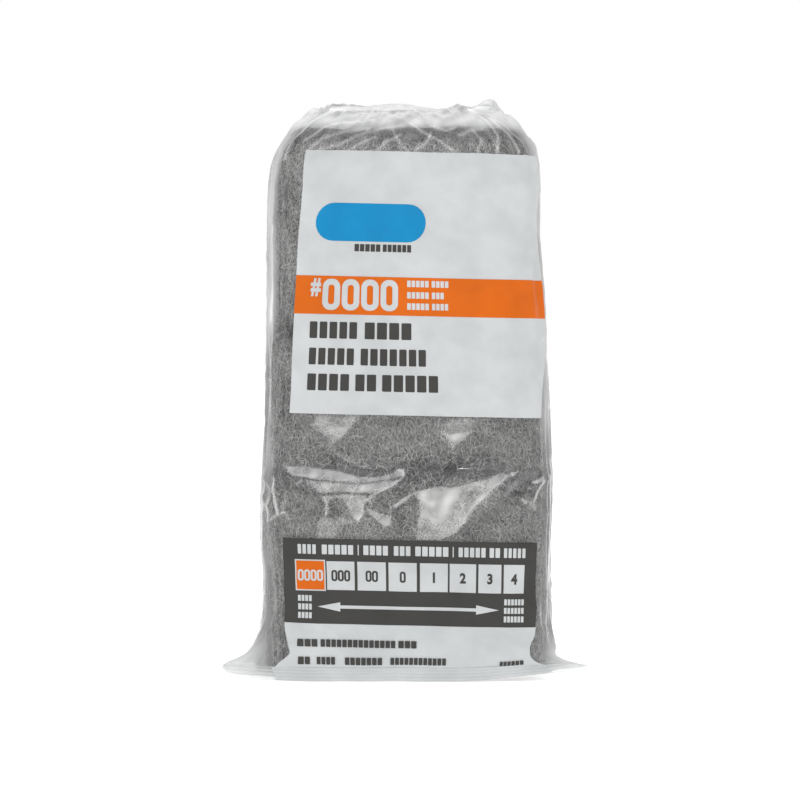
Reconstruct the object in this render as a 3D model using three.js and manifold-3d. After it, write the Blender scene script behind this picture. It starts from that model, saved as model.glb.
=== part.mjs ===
// A sealed clear bag of twelve steel wool pads, standing on its sealed end.
// Millimetres, +Z up, -Y is the printed front, origin under the middle of the bag.
// The pads are rolled ribbons, three rows of four from front to back. They are first laid out as a
// square stack, and squeeze() then gives that stack and the film round it their soft, rounded form.
import * as THREE from "three";
import { mergeVertices } from "three/addons/utils/BufferGeometryUtils.js";
import Module from "manifold-3d";

const wasm = await Module();
wasm.setup();

// Pads
const padWidth = 104;
const padThickness = 18.6;
const bottomRowHeight = 79;
const middleRowHeight = 53.5;
const topRowHeight = 80;
const turnGap = 0.5; // slit between the turns of a roll
const tailRise = 2; // how far the ribbon's outer end reaches past the start of the last bend
const padClearance = 0.4; // between pads
const filmClearance = 0.65; // between the pads and the film

// Film
const filmThickness = 0.5;
const crimpHeight = 6.5; // the sealed band along the bottom of the front
const crimpThickness = 0.8;
const crimpStep = 0.5; // the slope from the crimp back to the film
const earReach = 19.8; // how far the bottom seal's ends stand out past the sides
const earHeight = 27;
const roofRise = 6; // from the top of the pads to the ridge under the top seal
const topFinHeight = 1.5;
const topFinLean = 9; // how far back the top seal's edge leans
const topFinWidth = 62;
const seamWidth = 11; // the lap seal that runs up the back
const seamThickness = 0.5;
const ventRadius = 2.5;
const ventSpacing = 48;
const ventDrop = 24; // below the top of the pads

// Print on the front
const inkThickness = 0.3;
const inkClearance = 0.3; // between the film and the white ink, and between white and coloured ink
const upperFieldWidth = 93;
const upperFieldHeight = 101.5;
const upperFieldTop = 203; // above the floor
const gradeBandHeight = 15;
const gradeBandDrop = 48; // from the upper field's top edge to the band's
const markWidth = 43;
const markHeight = 13.5;
const markDrop = 21; // from the upper field's top edge to the mark's
const markShift = -15; // from the middle of the bag to the mark's
const lowerFieldWidth = 96;
const lowerFieldHeight = 47;
const lowerFieldRise = 1; // above the crimp
const guideHeight = 32.5;
const windowInset = 3; // from the guide's ends to the first and the last window
const windowGap = 0.8; // the bars between the windows
const windowHeight = 11.3;
const windowDrop = 8.5; // from the guide's top edge to the windows'
const arrowLength = 69;
const arrowHeadLength = 8.5;
const arrowHeadHeight = 4;
const arrowShaftHeight = 1.4;
const arrowRise = 6; // from the guide's bottom edge to the arrow's middle
const guideShift = 1; // from the middle of the bag to that of the windows and the arrow
const printShift = 1; // the fields sit this far right of the bag's middle, at the floor
const printLeanRatio = 0.02; // and this much further right for each millimetre of height

// How the film squeezes the stack, as shares of its half width and half depth
const cornerSqueezeShareX = 0.04;
const cornerSqueezeShareY = 0.16;
const flatShareX = 0.76; // the part of the front that stays flat
const flatShareY = 0.5; // the part of the sides that stays flat
const bottomSqueezeShare = 0.08;
const bottomRounding = 14;
const shoulderShareX = 0.19; // how far the top of the stack is drawn in
const shoulderShareY = 0.12;
const shoulderHeight = 14;
const topTaperShare = 0.04; // how much narrower the top row is pulled
const rowBulgeX = 1.4;
const rowBulgeY = 2;
const earShare = -0.8; // where the ear's tip lies between front, -1, and back, 1
const bridgeShare = 0.8; // how full the film stays where it spans the hollow between two rows

const layers = ["front", "second", "third", "back"];
const rows = [
  { name: "bottom", height: bottomRowHeight },
  { name: "middle", height: middleRowHeight },
  { name: "top", height: topRowHeight },
];
const stackBottom = filmThickness + filmClearance;
rows.forEach((row, i) => {
  row.bottom = i ? rows[i - 1].top + padClearance : stackBottom;
  row.top = row.bottom + row.height;
});
const stackTop = rows.at(-1).top;
const stackDepth = layers.length * padThickness + (layers.length - 1) * padClearance;
const halfWidth = padWidth / 2;
const halfDepth = stackDepth / 2;
const filmInside = filmClearance;
const filmOutside = filmClearance + filmThickness;

// The squeeze

// How far a height is through its row, from -1 at the bottom to 1 at the top.
function shareOfRow(z) {
  const row = rows.find((r) => z <= r.top) ?? rows.at(-1);
  return THREE.MathUtils.clamp((2 * (z - row.bottom)) / row.height - 1, -1, 1);
}

// Shrinks with a round edge at the bottom of the stack, and with a sloping shoulder at its top.
function endShrink(z, shoulderShare) {
  const low = THREE.MathUtils.clamp(1 - (z - stackBottom) / bottomRounding, 0, 1);
  const high = THREE.MathUtils.clamp(1 - (stackTop - z) / shoulderHeight, 0, 1);
  return 1 - bottomSqueezeShare * (1 - Math.sqrt(1 - low * low)) - shoulderShare * high ** 1.3;
}

function cornerShrink(share, flat, squeezed) {
  const past = Math.max(0, (Math.abs(share) - flat) / (1 - flat));
  return 1 - squeezed * past * past;
}

// Fullness is the least bulge: the pads go in to none at the ends of a row, and the film doesn't.
function squeeze(x, y, z, fullness = 0) {
  const bulge = Math.max(fullness, 1 - Math.abs(shareOfRow(z)) ** 3);
  const taper = 1 - topTaperShare * THREE.MathUtils.smoothstep(z, rows[1].bottom, stackTop);
  const shrinkX = cornerShrink(y / halfDepth, flatShareY, cornerSqueezeShareX);
  const shrinkY = cornerShrink(x / halfWidth, flatShareX, cornerSqueezeShareY);
  return new THREE.Vector3(
    x * shrinkX * endShrink(z, shoulderShareX) * taper * (1 + (rowBulgeX / halfWidth) * bulge),
    y * shrinkY * endShrink(z, shoulderShareY) * (1 + (rowBulgeY / halfDepth) * bulge),
    z,
  );
}

// Moves every vertex of a geometry to where the function puts it.
function reshape(geometry, move) {
  const position = geometry.getAttribute("position");
  for (let i = 0; i < position.count; i++) {
    const p = move(position.getX(i), position.getY(i), position.getZ(i));
    position.setXYZ(i, p.x, p.y, p.z);
  }
  geometry.computeVertexNormals();
  return geometry;
}

// Solids for cutting

function toSolid(geometry) {
  const bare = geometry.index ? geometry.toNonIndexed() : geometry.clone();
  bare.deleteAttribute("normal");
  bare.deleteAttribute("uv");
  const merged = mergeVertices(bare);
  return new wasm.Manifold(
    new wasm.Mesh({
      numProp: 3,
      vertProperties: merged.getAttribute("position").array,
      triVerts: new Uint32Array(merged.index.array),
    }),
  );
}

function toGeometry(solid) {
  const mesh = solid.getMesh();
  const geometry = new THREE.BufferGeometry();
  geometry.setAttribute("position", new THREE.BufferAttribute(mesh.vertProperties, 3));
  geometry.setIndex(new THREE.BufferAttribute(mesh.triVerts, 1));
  geometry.computeVertexNormals();
  return geometry;
}

// One pad: a ribbon rolled flat, seen along X as five layers joined by four bends

const layersInRoll = 5;
const ribbonThickness = (padThickness - (layersInRoll - 1) * turnGap) / layersInRoll;
const turnPitch = ribbonThickness + turnGap;

// One side of the ribbon from its inner end to its tail, offset from its middle line.
function ribbonSide(height, offset) {
  const low = -height / 2 + 2 * turnPitch + ribbonThickness / 2;
  const high = height / 2 - 1.5 * turnPitch - ribbonThickness / 2;
  const bends = [
    { y: turnPitch / 2, z: high, radius: turnPitch / 2, from: Math.PI, segments: 3 },
    { y: 0, z: low, radius: turnPitch, from: 0, segments: 4 },
    { y: turnPitch / 2, z: high, radius: 1.5 * turnPitch, from: Math.PI, segments: 5 },
    { y: 0, z: low, radius: 2 * turnPitch, from: 0, segments: 7 },
  ];
  const points = [new THREE.Vector2(-offset, low)];
  for (const bend of bends) {
    for (let i = 0; i <= bend.segments; i++) {
      const angle = bend.from - (Math.PI * i) / bend.segments;
      const radius = bend.radius + offset;
      points.push(
        new THREE.Vector2(bend.y + radius * Math.cos(angle), bend.z + radius * Math.sin(angle)),
      );
    }
  }
  points.push(new THREE.Vector2(-2 * turnPitch - offset, high + tailRise));
  return points;
}

// Cuts the long straight stretches of an outline in three, so that they can follow the bulge.
function withThirds(points, height) {
  return points.flatMap((point, i) => {
    const next = points[(i + 1) % points.length];
    if (point.distanceTo(next) < height / 3) return [point];
    return [0, 1 / 3, 2 / 3].map((share) => point.clone().lerp(next, share));
  });
}

function padGeometry(row, layer) {
  const outer = ribbonSide(row.height, ribbonThickness / 2);
  const inner = ribbonSide(row.height, -ribbonThickness / 2).reverse();
  const outline = withThirds([...outer, ...inner], row.height);
  const steps = 3;
  const roll = new THREE.ExtrudeGeometry(new THREE.Shape(outline), {
    depth: steps,
    steps,
    bevelEnabled: false,
  });
  const stations = [-1, -flatShareX, flatShareX, 1];
  const middleY = (layer + 0.5) * padThickness + layer * padClearance - halfDepth;
  const middleZ = row.bottom + row.height / 2;
  return reshape(roll, (y, z, station) =>
    squeeze(stations[Math.round(station)] * halfWidth, middleY + y, middleZ + z),
  );
}

// The bag's film: closed loops of points from the floor to the edge of the top seal

// The round of a loop in the square stack's own shares, starting at the back's left corner.
const acrossFront = [-0.89, -flatShareX, -0.38, 0, 0.38, flatShareX, 0.89];
const alongSide = [earShare, -0.65, -flatShareY, 0, flatShareY, 0.65, 0.82];

function loopShares() {
  const seam = seamWidth / 2 / halfWidth;
  const step = seamThickness / halfWidth;
  const outer = [0.89, flatShareX, 0.38, seam];
  const back = [...outer, seam - step, step - seam, ...outer.toReversed().map((u) => -u)];
  return [
    [-1, 1],
    ...alongSide.toReversed().map((v) => [-1, v]),
    [-1, -1],
    ...acrossFront.map((u) => [u, -1]),
    [1, -1],
    ...alongSide.map((v) => [1, v]),
    [1, 1],
    ...back.map((u) => [u, 1]),
  ];
}

// How far the ear stands out at a height, and at a share of the side between front and back.
function earAt(z, share) {
  const up = THREE.MathUtils.clamp((earHeight - z) / (earHeight - crimpHeight), 0, 1);
  const along = share < earShare ? (share + 1) / (earShare + 1) : (1 - share) / (1 - earShare);
  return earReach * up ** 3 * Math.max(0, along) ** 4;
}

// One loop at a height, offset outwards from the stack. Extras are the crimp and the back seam.
function filmLoop(z, offset, earShareOfReach, extras) {
  return loopShares().map(([u, v]) => {
    const onSeam = v === 1 && Math.abs(u) * halfWidth < seamWidth / 2 - seamThickness / 2;
    const crimped = v === -1 && z <= crimpHeight;
    const proud = extras * ((onSeam ? seamThickness : 0) + (crimped ? crimpThickness : 0));
    const [x, y] = [u * (halfWidth + offset), v * (halfDepth + offset + proud)];
    const point = squeeze(x, y, z, bridgeShare);
    if (Math.abs(u) === 1) point.x += u * earShareOfReach * earAt(z, v);
    return point;
  });
}

const rowStations = [-0.85, -0.62, 0, 0.62, 0.85, 1];
const leastStep = 0.6; // between two loops
const wallHeights = [
  ...rows.flatMap((row) =>
    rowStations.map((share) => row.bottom + ((1 + share) * row.height) / 2),
  ),
  bottomRounding,
  ...[0.7, 0.45, 0.2, 0.07].map((share) => stackTop - share * shoulderHeight),
]
  .sort((a, b) => a - b)
  .filter((z, i, all) => !(all[i + 1] - z < leastStep));

// Over the pads the loop below the roof is drawn in to the ridge, and past it to the fin's edge.
function roofLoops(base, offset, fin) {
  const finHalf = topFinThickness / 2;
  const reachX = Math.max(...base.map((p) => p.x));
  const reachY = Math.max(...base.map((p) => p.y));
  const ridgeX = topFinWidth / 2;
  const ridge = stackTop + offset + roofRise;
  const stages = [
    { rise: 0.1, x: 0.965, y: 0.955 },
    { rise: 0.4, x: 0.9, y: 0.84 },
    { rise: 0.72, x: 0.82, y: 0.6 },
    { rise: 1, x: ridgeX / reachX, y: finHalf / reachY },
  ];
  const loops = stages.map(({ rise, x, y }) =>
    base.map((p) => new THREE.Vector3(p.x * x, p.y * y, stackTop + offset + roofRise * rise)),
  );
  if (!fin) return loops.slice(0, -1);
  // The fin leans so far that its thickness stands up at its edge.
  const edge = loops.at(-1).map(
    (p) => new THREE.Vector3(p.x, topFinLean, ridge + topFinHeight - p.y),
  );
  return [...loops, edge];
}

const topFinThickness = 2 * filmThickness;

// Joins loops into one closed surface, with a fan over the first and the last.
function loft(loops) {
  const around = loops[0].length;
  const centres = [loops[0], loops.at(-1)].map((loop) =>
    loop.reduce((sum, p) => sum.add(p), new THREE.Vector3()).divideScalar(around),
  );
  const points = [...loops.flat(), ...centres];
  const [below, above] = [points.length - 2, points.length - 1];
  const last = (loops.length - 1) * around;
  const faces = [];
  for (let i = 0; i < around; i++) {
    const j = (i + 1) % around;
    for (let k = 0; k < last; k += around) {
      faces.push(k + i, k + j, k + around + j, k + i, k + around + j, k + around + i);
    }
    faces.push(below, j, i, above, last + i, last + j);
  }
  const geometry = new THREE.BufferGeometry().setFromPoints(points);
  geometry.setIndex(faces);
  return geometry;
}

function filmGeometry() {
  const high = wallHeights.filter((z) => z > crimpHeight + 4 * crimpStep);
  const low = bottomRounding / 5;
  const outerHeights = [0, low, crimpHeight, crimpHeight + crimpStep, ...high];
  const innerHeights = [filmThickness, low, crimpHeight, ...high];
  const outer = outerHeights.map((z) => filmLoop(z, filmOutside, 1, 1));
  const inner = innerHeights.map((z) => filmLoop(z, filmInside, 0.92, 0));
  outer.push(...roofLoops(outer.at(-1), filmOutside, true));
  inner.push(...roofLoops(inner.at(-1), filmInside, false));
  let film = toSolid(loft(outer)).subtract(toSolid(loft(inner)));
  for (const side of [-1, 1]) {
    const vent = new THREE.CylinderGeometry(ventRadius, ventRadius, halfDepth, 12);
    vent.translate((side * ventSpacing) / 2, halfDepth, stackTop - ventDrop);
    film = film.subtract(toSolid(vent));
  }
  return toGeometry(film);
}

// Print: thin fields that follow the front

// Two ends, with those of the film's own stations that lie between them.
function stationsBetween(low, high, known) {
  return [low, ...known.filter((s) => s > low + inkClearance && s < high - inkClearance), high];
}

// A field of ink that follows the film's own facets, an offset in front of it.
function fieldGeometry([left, right, bottom, top], offset) {
  const facets = [-1, ...acrossFront, 1].map((u) => u * (halfWidth + filmOutside));
  const xs = stationsBetween(left, right, facets);
  const zs = stationsBetween(bottom, top, wallHeights);
  const [columns, levels] = [xs.length - 1, zs.length - 1];
  const block = new THREE.BoxGeometry(columns, 1, levels, columns, 1, levels);
  return reshape(block, (i, side, k) => {
    const x = xs[Math.round(i + columns / 2)];
    const z = zs[Math.round(k + levels / 2)];
    const out = offset + (side < 0 ? inkThickness : 0);
    return squeeze(x, -(halfDepth + filmOutside + out), z, bridgeShare);
  });
}

const whiteOffset = inkClearance;
const colourOffset = whiteOffset + inkThickness + inkClearance;

// The fields' left, right, bottom and top.
function fieldOf(width, bottom, top) {
  const centre = printShift + (printLeanRatio * (bottom + top)) / 2;
  return [centre - width / 2, centre + width / 2, bottom, top];
}

const lowerBottom = crimpHeight + lowerFieldRise;
const lowerTop = lowerBottom + lowerFieldHeight;
const bandTop = upperFieldTop - gradeBandDrop;
const markTop = upperFieldTop - markDrop;
const guideBottom = lowerTop - guideHeight;
const upperField = fieldOf(upperFieldWidth, upperFieldTop - upperFieldHeight, upperFieldTop);
const lowerField = fieldOf(lowerFieldWidth, lowerBottom, lowerTop);
const bandField = fieldOf(upperFieldWidth, bandTop - gradeBandHeight, bandTop);
const guideField = fieldOf(lowerFieldWidth, guideBottom, lowerTop);
const markField = fieldOf(upperFieldWidth, markTop - markHeight, markTop);

function arrowShape() {
  const [half, neck] = [arrowLength / 2, arrowLength / 2 - arrowHeadLength];
  const [head, shaft] = [arrowHeadHeight / 2, arrowShaftHeight / 2];
  const upper = [
    [-half, 0],
    [-neck, head],
    [-neck, shaft],
    [neck, shaft],
    [neck, head],
    [half, 0],
  ];
  const lower = upper.slice(1, -1).map(([x, y]) => [x, -y]);
  return new THREE.Shape([...upper, ...lower.reverse()].map(([x, y]) => new THREE.Vector2(x, y)));
}

function rectangle(width, height) {
  const plane = new THREE.PlaneGeometry(width, height).getAttribute("position");
  return new THREE.Shape([0, 2, 3, 1].map((i) => new THREE.Vector2(plane.getX(i), plane.getY(i))));
}

// A cutter with a flat outline, which runs through the front of the bag at a true x and z.
function throughPrint(shape, x, z) {
  const cutter = new THREE.ExtrudeGeometry(shape, { depth: halfDepth, bevelEnabled: false });
  cutter.rotateX(Math.PI / 2).translate(x, -halfDepth / 2, z);
  return toSolid(cutter);
}

// The dark guide, with eight windows and an arrow left open over the white.
const windowCount = 8;
const windowsZ = lowerTop - windowDrop - windowHeight / 2;
const windowRow = lowerFieldWidth * (1 - cornerSqueezeShareX) - 2 * windowInset;
const windowWidth = (windowRow - (windowCount - 1) * windowGap) / windowCount;

function windowX(index) {
  return guideShift + (index - (windowCount - 1) / 2) * (windowWidth + windowGap);
}

function guideGeometry() {
  let guide = toSolid(fieldGeometry(guideField, colourOffset));
  for (let i = 0; i < windowCount; i++) {
    const window = rectangle(windowWidth, windowHeight);
    guide = guide.subtract(throughPrint(window, windowX(i), windowsZ));
  }
  guide = guide.subtract(throughPrint(arrowShape(), guideShift, guideBottom + arrowRise));
  return toGeometry(guide);
}

// The orange square fills the first window and keeps clear of its edges.
function gradeSquareGeometry() {
  const clearance = 2 * inkClearance;
  const square = rectangle(windowWidth - clearance, windowHeight - clearance);
  const field = toSolid(fieldGeometry(guideField, colourOffset));
  return toGeometry(field.intersect(throughPrint(square, windowX(0), windowsZ)));
}

// A bar with round ends.
function markGeometry() {
  const bar = new THREE.Shape();
  const radius = markHeight / 2;
  bar.absarc(markWidth / 2 - radius, 0, radius, -Math.PI / 2, Math.PI / 2);
  bar.absarc(radius - markWidth / 2, 0, radius, Math.PI / 2, (3 * Math.PI) / 2);
  const field = toSolid(fieldGeometry(markField, colourOffset));
  return toGeometry(field.intersect(throughPrint(bar, markShift, markTop - radius)));
}

// The assembly

const pack = new THREE.Group();

function add(name, geometry, look) {
  const mesh = new THREE.Mesh(geometry, new THREE.MeshStandardMaterial(look));
  mesh.name = name;
  pack.add(mesh);
  return mesh;
}

const steelWool = { color: 0x74726f, roughness: 0.75, metalness: 0.35 };
const clearFilm = { color: 0xf2f4f5, roughness: 0.15, transparent: true, opacity: 0.25 };
const whiteInk = { color: 0xdfe2e2, roughness: 0.35 };
const orangeInk = { color: 0xe06a10, roughness: 0.35 };
const darkInk = { color: 0x474645, roughness: 0.35 };
const blueInk = { color: 0x0a86cf, roughness: 0.35 };

rows.forEach((row) => {
  layers.forEach((layer, i) => {
    add(`pad_${row.name}_${layer}`, padGeometry(row, i), steelWool);
  });
});
const bag = add("bag_film", filmGeometry(), clearFilm);
add("print_upper_field", fieldGeometry(upperField, whiteOffset), whiteInk);
add("print_lower_field", fieldGeometry(lowerField, whiteOffset), whiteInk);
add("print_grade_band", fieldGeometry(bandField, colourOffset), orangeInk);
add("print_grade_guide", guideGeometry(), darkInk);
add("print_grade_square", gradeSquareGeometry(), orangeInk);
add("print_mark", markGeometry(), blueInk);

// The origin is under the middle of the bag, seam and crimp included.
const middle = new THREE.Box3().setFromObject(pack).getCenter(new THREE.Vector3());
pack.position.y = -middle.y;

export default pack;
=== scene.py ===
"""A sealed clear bag of steel wool pads: the looks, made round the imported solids.

Lengths in this file are millimetres until mesh() turns them into metres. On the film, a place is
given by (t, m): t runs level round the bag from the middle of its front, right of it counted up,
and m runs from the middle of the underside, up the wall and over the top to the edge of the seal.
"""

import math

import bmesh
import bpy
import numpy as np
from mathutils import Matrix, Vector


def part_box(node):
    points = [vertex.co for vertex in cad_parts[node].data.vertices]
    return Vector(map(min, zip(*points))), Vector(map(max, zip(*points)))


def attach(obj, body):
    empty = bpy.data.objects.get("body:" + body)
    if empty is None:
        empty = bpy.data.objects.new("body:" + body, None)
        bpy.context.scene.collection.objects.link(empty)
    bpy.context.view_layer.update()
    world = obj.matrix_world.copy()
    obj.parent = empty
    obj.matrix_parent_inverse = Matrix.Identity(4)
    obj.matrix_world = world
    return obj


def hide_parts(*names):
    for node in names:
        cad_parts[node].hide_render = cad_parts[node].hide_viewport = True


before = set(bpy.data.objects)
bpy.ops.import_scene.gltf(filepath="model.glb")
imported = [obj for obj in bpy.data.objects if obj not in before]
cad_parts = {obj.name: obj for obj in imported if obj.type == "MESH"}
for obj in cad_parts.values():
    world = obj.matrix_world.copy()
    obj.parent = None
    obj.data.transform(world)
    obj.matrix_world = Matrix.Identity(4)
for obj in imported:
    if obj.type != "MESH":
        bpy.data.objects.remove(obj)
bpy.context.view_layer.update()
rng = np.random.default_rng(12)

ROWS = ["bottom", "middle", "top"]
LAYERS = ["front", "second", "third", "back"]


# The camera, level with the bag and square to its front

camera = bpy.data.objects.new("camera", bpy.data.cameras.new("camera"))
bpy.context.scene.collection.objects.link(camera)
bpy.context.scene.camera = camera
camera.location = (-0.0027, -1.34, 0.138)
camera.rotation_euler = (math.radians(90 - 1.3), 0, 0)
camera.data.sensor_width = 36
camera.data.lens = 152.5
camera.data.clip_start = 0.05


# The form of the bag


def curve(points, blur=4.0):
    """A smooth function through (place, value) pairs."""
    place, value = np.array(points, float).T
    fine = np.arange(place[0], place[-1] + 0.5, 0.5)
    reach = int(6 * blur)
    weights = np.exp(-0.5 * (np.arange(-reach, reach + 1) * 0.5 / blur) ** 2)
    rough = np.pad(np.interp(fine, place, value), reach, "reflect", reflect_type="odd")
    smooth = np.convolve(rough, weights / weights.sum(), "valid")
    return lambda q: np.interp(q, fine, smooth)


# Along m: the middle of the underside, the foot of the top seal and its edge.
UNDERSIDE, FIN_FOOT, FIN_EDGE = -44, 252, 262

# The film's left and right edges and half its depth, by height.
left_edge = curve([(0, -54.2), (24, -54.4), (40, -55.6), (54, -57.4), (68, -57), (82, -55.7),
                   (108, -54.9), (165, -54), (197, -53.2), (226, -52.6)])
right_edge = curve([(0, 54.4), (20, 55), (47, 55.6), (81, 56.4), (108, 55.4), (146, 52.9),
                    (171, 50.8), (195, 51.6), (226, 51.4)])
half_depth = curve([(0, 38.2), (10, 39.4), (42, 40.3), (81, 39), (107, 39.9), (134, 39.2),
                    (175, 40.2), (226, 39.2)])

# Height along the film, the shares of its width and depth, and how far it leans back.
height_at = curve([(UNDERSIDE, 0.5), (-5, 0.3), (-1, 0.8), (4, 5), (200, 201), (206, 207),
                   (211, 211.5), (215, 214.6), (219, 217), (226, 219.4), (236, 221.2),
                   (FIN_FOOT, 222.6), (FIN_EDGE, 223.2)], 1.0)
width_at = curve([(UNDERSIDE, 0.03), (-4, 0.93), (0, 0.985), (6, 1), (192, 1), (199, 0.985),
                  (203, 0.965), (207, 0.92), (211, 0.87), (215, 0.815), (219, 0.755), (226, 0.68),
                  (236, 0.62), (FIN_FOOT, 0.58), (FIN_EDGE, 0.58)], 1.2)
depth_at = curve([(UNDERSIDE, 0.03), (-4, 0.91), (0, 0.975), (6, 1), (201, 1), (208, 0.97),
                  (215, 0.88), (222, 0.74), (235, 0.4), (FIN_FOOT, 0.02), (FIN_EDGE, 0.01)], 1.5)
lean_at = curve([(UNDERSIDE, 0), (249, 0), (FIN_FOOT, 0.4), (FIN_EDGE, 9.4)], 0.8)

# The level ring that the bag is drawn from, a square with soft corners, and t along it.
HALF_X, HALF_Y, SQUARENESS = 54.5, 40.0, 6
angle = np.linspace(-1.5 * np.pi, 0.5 * np.pi, 40001)
ring_x = HALF_X * np.sign(np.cos(angle)) * np.abs(np.cos(angle)) ** (2 / SQUARENESS)
ring_y = HALF_Y * np.sign(np.sin(angle)) * np.abs(np.sin(angle)) ** (2 / SQUARENESS)
ring_t = np.append(0, np.cumsum(np.hypot(np.diff(ring_x), np.diff(ring_y))))
GIRTH = ring_t[-1]
BACK = GIRTH / 2  # t at the middle of the back
ring_t -= BACK


def bump(q, low, high):
    """0 below low, 1 above high, smooth between."""
    s = np.clip((q - low) / (high - low), 0, 1)
    return s * s * (3 - 2 * s)


def hill(q, middle, breadth):
    """1 at its middle, falling off to either side."""
    return np.exp(-(((q - middle) / breadth) ** 2))


# The ears of the bottom seal: where they start and end, and how far they reach by height. CRIMP is
# the seal's height.
EAR_START, EAR_T, CRIMP = 38, 56.0, 4.8
left_ear = curve([(-5, 17), (0, 18), (1.5, 19.4), (3, 20.4), (4.6, 20.6), (6, 17.6), (8, 13.2),
                  (10, 9.8), (13, 6.6), (17, 3.8), (22, 1.6), (28, 0.5), (34, 0), (40, 0)], 0.4)
right_ear = curve([(-5, 11), (-1, 15), (0, 18.6), (0.8, 20.6), (2, 20.2), (3.2, 15), (5.5, 9),
                   (9, 5), (14, 2), (22, 0.3), (30, 0), (40, 0)], 0.4)


def ear(t, z):
    """How far the ears of the bottom seal stand out."""
    side = np.abs(t)
    ahead = np.clip((side - EAR_START) / (EAR_T - EAR_START), 0, 1) ** 2
    behind = np.exp(-np.maximum(side - EAR_T, 0) / (6 + 0.4 * z))
    reach = np.where(t < 0, left_ear(z), right_ear(z))
    return np.maximum(reach, 0) * np.where(side < EAR_T, ahead, behind)


def lift(t, z):
    """How far the seal's right end has curled up off the floor."""
    return 3.2 * bump(t, 20, 62) * bump(-t, -150, -60) * np.clip(1 - z / 12, 0, 1)


def plain_film(t, m):
    """The film without its folds."""
    round_t = (t + BACK) % GIRTH - BACK
    z = height_at(m)
    half, middle = (right_edge(z) - left_edge(z)) / 2, (right_edge(z) + left_edge(z)) / 2
    x = middle + np.interp(round_t, ring_t, ring_x) / HALF_X * half * width_at(m)
    y = np.interp(round_t, ring_t, ring_y) / HALF_Y * half_depth(z) * depth_at(m) + lean_at(m)
    # The right shoulder is the fuller one, and the top seal stands up in three peaks.
    shoulder = 4.6 * bump(m, 208, 238) + 1.6 * hill(m, 207, 7)
    x = x + shoulder * hill(round_t, 58, 15)
    peaks = 4.4 * hill(round_t, 55, 9) + 1.6 * hill(round_t, -46, 16) + 2.6 * hill(round_t, -8, 20) - 0.6
    rise = lift(round_t, z) + peaks * bump(m, 226, 246)
    out = ear(round_t, z) * bump(m, -8, 1)
    return np.stack([x + np.sign(round_t) * out, y + 0.45 * out, z + rise], -1)


def normal(t, m):
    """Which way the plain film faces."""
    step = 0.4
    along = plain_film(t + step, m) - plain_film(t - step, m)
    up = plain_film(t, m + step) - plain_film(t, m - step)
    n = np.cross(along, up)
    return n / np.maximum(np.linalg.norm(n, axis=-1, keepdims=True), 1e-9)


def waves(t, m, length, seed, count=20, stretch=1.0, level=1.0):
    """Smooth noise between about -1 and 1, with swells of about the given length."""
    draw = np.random.default_rng(seed)
    total = np.zeros(np.shape(t))
    for _ in range(count):
        a, turn, shift = draw.uniform(0, np.pi), draw.uniform(0.6, 1.6), draw.uniform(0, 2 * np.pi)
        along = t * np.cos(a) * stretch + m * np.sin(a) * level
        total += np.cos(2 * np.pi * turn / length * along + shift)
    return total / math.sqrt(count)


# Folds of the film, each from (t, m) to (t, m), then its height, the breadth of its upper flank and
# of its lower one, and its bow. A pleat's flanks are straight, so that each catches the light as one.
PLEATS = [
    # the lips where the film bridges from the bottom pads to the middle ones
    (-47, 80.5, -1, 80.5, 0.9, 3.2, 1.2, 3.2),
    (-44, 76.5, -1, 78.5, 1.5, 4.6, 2, 4.6),
    (-2, 79, -17, 63, 0.6, 1, 1.2, 0.8),
    # the puffed film on the right of them
    (13, 54, 43, 80.5, 3.4, 17, 3.5, 1),
    (-1, 66, 16, 57, 0.8, 4, 2, 1),
    (4, 58, 5, 71, 0.5, 2, 2.5, 0.6),
    # the small upright pocket on the left
    (-31, 57, -30, 72, 0.5, 1, 1.6, 0.8),
    (-24, 56, -17, 73, 1, 5, 1.4, -1.2),
    # the lens of loose film under the upper field
    (-29, 89, -15, 104, 1.3, 7, 1.2, -0.6),
    (11, 103, 18, 88, 1.2, 1.2, 6.5, 0.6),
    (-29, 90, -4, 81, 0.5, 1.5, 2.5, 2.6),
    (5, 80.5, 18, 90, 0.5, 2, 2.5, 1.4),
]
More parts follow.
